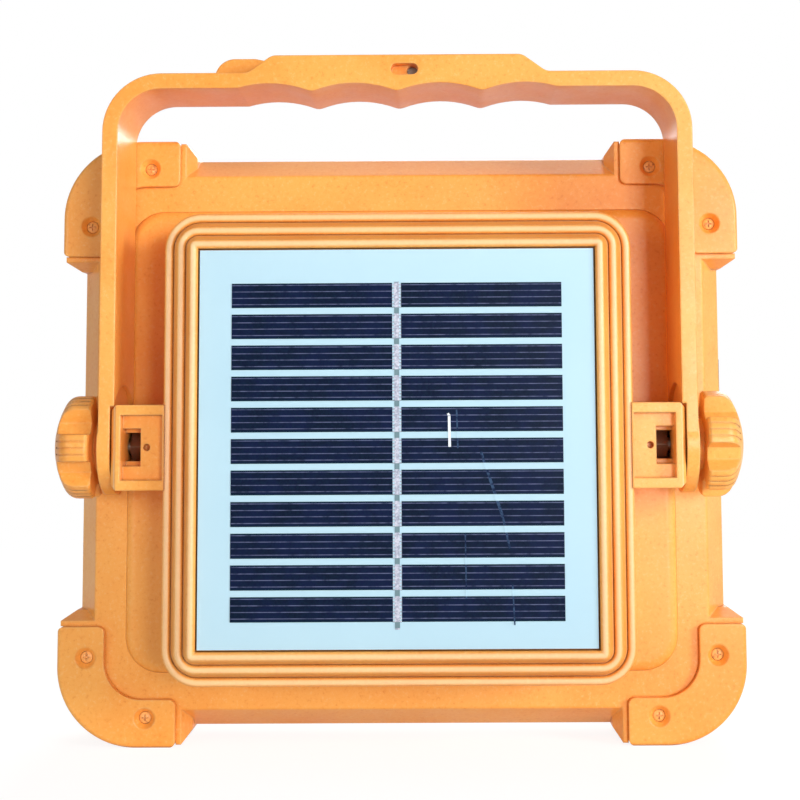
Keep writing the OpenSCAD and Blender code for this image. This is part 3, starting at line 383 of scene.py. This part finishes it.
def ribbon():
    """Tinned copper, bright and rough on the cells and dull between two rows."""
    s = Shader("tinned_ribbon", Metallic=0.2, Roughness=0.5)
    between = s.band(height_in_row(s, pitches_below=1), CELL_HEIGHT, CELL_HEIGHT + 0.2 * MM)
    solder = s.band(s.noise(1400.0, 4.0, 0.7), 0.38, 0.62)
    bright = s.mix(solder, rgb(206, 208, 222), rgb(150, 156, 176))
    s.set("Base Color", s.mix(between, bright, rgb(104, 132, 140)))
    s.set("Normal", s.bump(s.noise(1500.0), 0.08 * MM, 0.8))
    return s.mat


def scratch_white():
    s = Shader("scratch_white", Roughness=0.6)
    s.set("Base Color", s.mix(s.noise(800.0), rgb(250, 252, 255), rgb(222, 236, 246)))
    return s.mat


def scratch_faint():
    """A faint scratch shows on the dark rows and is lost on the pale sheet between them."""
    s = Shader("scratch_faint", Roughness=0.5)
    s.set("Specular IOR Level", 0.08)
    between = s.math("GREATER_THAN", height_in_row(s), CELL_HEIGHT)
    rubbed = s.band(s.noise(700.0, 4.0, 0.7), 0.35, 0.6)
    on_cell = s.mix(rubbed, rgb(16, 30, 62), rgb(56, 80, 112))
    s.set("Base Color", s.mix(between, on_cell, rgb(190, 224, 240)))
    return s.mat


# ---------- materials on the part's slots ----------

MATERIALS = {
    "orange_plastic": orange_plastic(),
    "black_plastic": black_plastic(),
    "seal_rubber": rubber(),
    "painted_screw": painted_screw(),
    "screw_steel": steel("screw_steel", rgb(150, 138, 126), rgb(112, 98, 86), 0.42),
    "nickel_steel": steel("nickel_steel", rgb(204, 202, 196), rgb(150, 146, 140), 0.25),
    "clear_lens": lens_clear(),
    "white_reflector": white_satin(),
    "board_aluminium": led_board_white(),
    "led_resin": led_phosphor(),
    "green_board": green_board(),
    "window_plastic": window_milk(),
    "cell_wrap": cell_wrap(),
    "pale_laminate": laminate(),
    "blue_cells": silicon(),
    "tinned_ribbon": ribbon(),
}

NODE_MATERIALS = {"solar_box": orange_plastic("orange_abs_crest_highlight", ridges=True)}

for part in frame["record"]["subparts"]:
    obj = NODES[part["node"]]
    for slot in obj.material_slots:
        slot.material = NODE_MATERIALS.get(part["node"], MATERIALS[part["material_slot"]])


# ---------- small pieces on the panel ----------

STROKE_DEPTH = 0.03 * MM
BRIDGE_REACH = 1.25 * MM
BRIDGE_WIDTH = 0.34 * MM
BRIDGE_PITCH = FINGER_PITCH / 2
BRIDGES_PER_ROW = 8


def strip_mesh(name, strokes, material):
    """One mesh of flat bars that stand out from the cells. Each stroke is (x0, z0, x1, z1, width)."""
    face_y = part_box("solar_cells")[0][1]
    bm = bmesh.new()
    for x0, z0, x1, z1, width in strokes:
        along = Vector((x1 - x0, 0, z1 - z0))
        side = along.normalized().cross(Vector((0, 1, 0))) * width / 2
        start = Vector((x0, face_y, z0))
        foot = [start + side, start + along + side, start + along - side, start - side]
        top = [p - Vector((0, STROKE_DEPTH, 0)) for p in foot]
        low, high = [[bm.verts.new(p) for p in ring] for ring in (foot, top)]
        bm.faces.new(high)
        bm.faces.new(low[::-1])
        for i in range(4):
            j = (i + 1) % 4
            bm.faces.new((low[i], low[j], high[j], high[i]))
    bmesh.ops.recalc_face_normals(bm, faces=bm.faces)
    mesh = bpy.data.meshes.new(name)
    bm.to_mesh(mesh)
    bm.free()
    mesh.materials.append(material)
    obj = new_object(name, mesh)
    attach(obj, "light")
    return obj


def solder_bridges():
    """The short printed fingers that join each half row to the ribbon."""
    ribbon_low, ribbon_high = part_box("busbar_ribbon")
    middle = (ribbon_low[0] + ribbon_high[0]) / 2
    strokes = []
    for row in range(CELL_ROWS):
        first = CELL_LOW[2] + row * CELL_PITCH + FINGER_FOOT - BRIDGE_PITCH
        for k in range(BRIDGES_PER_ROW):
            z = first + k * BRIDGE_PITCH
            for edge, side in ((ribbon_low[0], -1), (ribbon_high[0], 1)):
                strokes.append((edge, z, middle + side * BRIDGE_REACH, z, BRIDGE_WIDTH))
    obj = strip_mesh("solder_bridges", strokes, MATERIALS["tinned_ribbon"])


def scratches():
    """Wear on the panel's clear skin: one bright nick and a few faint long scratches, in mm."""
    nick = [
        (14.6, 98.8, 14.7, 90.0, 0.75), (14.2, 99.3, 14.8, 98.6, 0.6),
    ]
    faint = [
        (16.7, 100.4, 17.0, 89.6, 0.45), (23.4, 88.6, 25.9, 81.0, 0.7), (25.9, 81.0, 29.4, 70.4, 0.8),
        (29.4, 70.4, 31.2, 62.0, 0.6), (18.9, 66.0, 19.1, 48.2, 0.4), (31.9, 52.0, 32.4, 41.0, 0.4),
    ]
    wear = (("panel_nick", nick, scratch_white()), ("panel_scratches", faint, scratch_faint()))
    for name, strokes, material in wear:
        obj = strip_mesh(name, [[v * MM for v in stroke] for stroke in strokes], material)


solder_bridges()
scratches()


# ---------- stage ----------

FLOOR_HALF = 6.0

# The floor fades into the white background between these distances from the object
FADE_START = 0.25
FADE_END = 0.8

# The floor's own white light as the camera sees it, near the object and far out: strength and share
GLOW_NEAR, GLOW_FAR = 1.25, 1.0
SHARE_NEAR, SHARE_FAR = 0.7, 1.0

# How much of the white background shows in reflections on the object
MIRRORED_WHITE = 0.55


def seen_by_eye(tree):
    """1 where the camera looks at the stage, less in mirrors, 0 for the stage's light on the object."""
    rays = new_node(tree, "ShaderNodeLightPath")
    seen = rays.outputs["Is Camera Ray"]
    for other, share in (("Is Glossy Ray", MIRRORED_WHITE), ("Is Transmission Ray", 1.0)):
        n = new_node(tree, "ShaderNodeMath", operation="MULTIPLY_ADD", use_clamp=True)
        tree.links.new(rays.outputs[other], n.inputs[0])
        n.inputs[1].default_value = share
        tree.links.new(seen, n.inputs[2])
        seen = n.outputs[0]
    return seen


def floor_material():
    """A pale floor that looks white, keeps the object's shadow, and joins the white background far out."""
    s = Shader("floor_pale", Base_Color=(0.85, 0.85, 0.85, 1), Roughness=0.9)
    far = s.node("ShaderNodeVectorMath", operation="LENGTH")
    s.link(s.where, far.inputs[0])
    away = s.band(far.outputs["Value"], FADE_START, FADE_END)
    glow = s.node("ShaderNodeEmission")
    glow.inputs["Color"].default_value = (1, 1, 1, 1)
    s.link(s.band(away, 0.0, 1.0, GLOW_NEAR, GLOW_FAR), glow.inputs["Strength"])
    share = s.band(away, 0.0, 1.0, SHARE_NEAR, SHARE_FAR)
    blend = s.node("ShaderNodeMixShader")
    s.link(s.math("MULTIPLY", seen_by_eye(s.tree), share), blend.inputs[0])
    s.link(s.bsdf.outputs[0], blend.inputs[1])
    s.link(glow.outputs[0], blend.inputs[2])
    s.link(blend.outputs[0], s.out.inputs["Surface"])
    return s.mat


def floor():
    half = FLOOR_HALF
    mesh = bpy.data.meshes.new("floor")
    corners = [(-half, -half, 0), (half, -half, 0), (half, half, 0), (-half, half, 0)]
    mesh.from_pydata(corners, [], [(0, 1, 2, 3)])
    mesh.materials.append(floor_material())
    obj = new_object("floor", mesh)


def world():
    """A dim warm room for the light on the object, and plain white for the camera."""
    w = bpy.data.worlds.new("studio")
    bpy.context.scene.world = w
    w.use_nodes = True
    tree = w.node_tree
    room = tree.nodes["Background"]
    room.inputs["Color"].default_value = (1.0, 0.96, 0.91, 1)
    room.inputs["Strength"].default_value = 0.2
    white = new_node(tree, "ShaderNodeBackground")
    white.inputs["Color"].default_value = (1, 1, 1, 1)
    white.inputs["Strength"].default_value = 1.0
    mix = new_node(tree, "ShaderNodeMixShader")
    tree.links.new(seen_by_eye(tree), mix.inputs[0])
    tree.links.new(room.outputs[0], mix.inputs[1])
    tree.links.new(white.outputs[0], mix.inputs[2])
    tree.links.new(mix.outputs[0], tree.nodes["World Output"].inputs[0])


# Each lamp's place and size in metres, and its power in watts. None stands where the flat panel
# mirrors it towards the camera, which would wash out the cells.
LAMPS = {
    "key": ((1.4, -0.95, 0.45), (0.5, 0.5), 17),
    "front": ((0.46, -1.3, 0.16), (0.3, 0.3), 6.9),
    "fill": ((-0.95, -1.3, 0.3), (0.7, 0.5), 5),
    "back": ((0.3, 1.5, 0.9), (1.0, 1.0), 16),
}
LAMP_AIM = Vector((0, 0, 0.1))


def area_light(name, place, size, watts):
    data = bpy.data.lights.new(name, "AREA")
    data.shape = "RECTANGLE"
    data.size, data.size_y = size
    data.energy = watts
    obj = new_object(name, data)
    obj.location = place
    obj.rotation_euler = (LAMP_AIM - obj.location).to_track_quat("-Z", "Y").to_euler()


# The camera as fitted to the photograph: place in mm, turn in degrees about X, Y and Z
CAMERA_PLACE = (13.213, -455.06, 100.13)
CAMERA_TURN = (95.0397, 0.3054, 0.3009)
CAMERA_LENS = 67.5
CAMERA_SHIFT = (-0.0453, -0.1523)


def camera():
    data = bpy.data.cameras.new("camera")
    data.sensor_width = 36.0
    data.lens = CAMERA_LENS
    data.shift_x, data.shift_y = CAMERA_SHIFT
    obj = new_object("camera", data)
    turn = Euler([math.radians(a) for a in CAMERA_TURN])
    obj.matrix_world = Matrix.LocRotScale(Vector(CAMERA_PLACE) * MM, turn, None)
    bpy.context.scene.camera = obj


floor()
world()
for lamp, values in LAMPS.items():
    area_light(lamp, *values)
camera()
bpy.context.scene.view_settings.view_transform = "Standard"
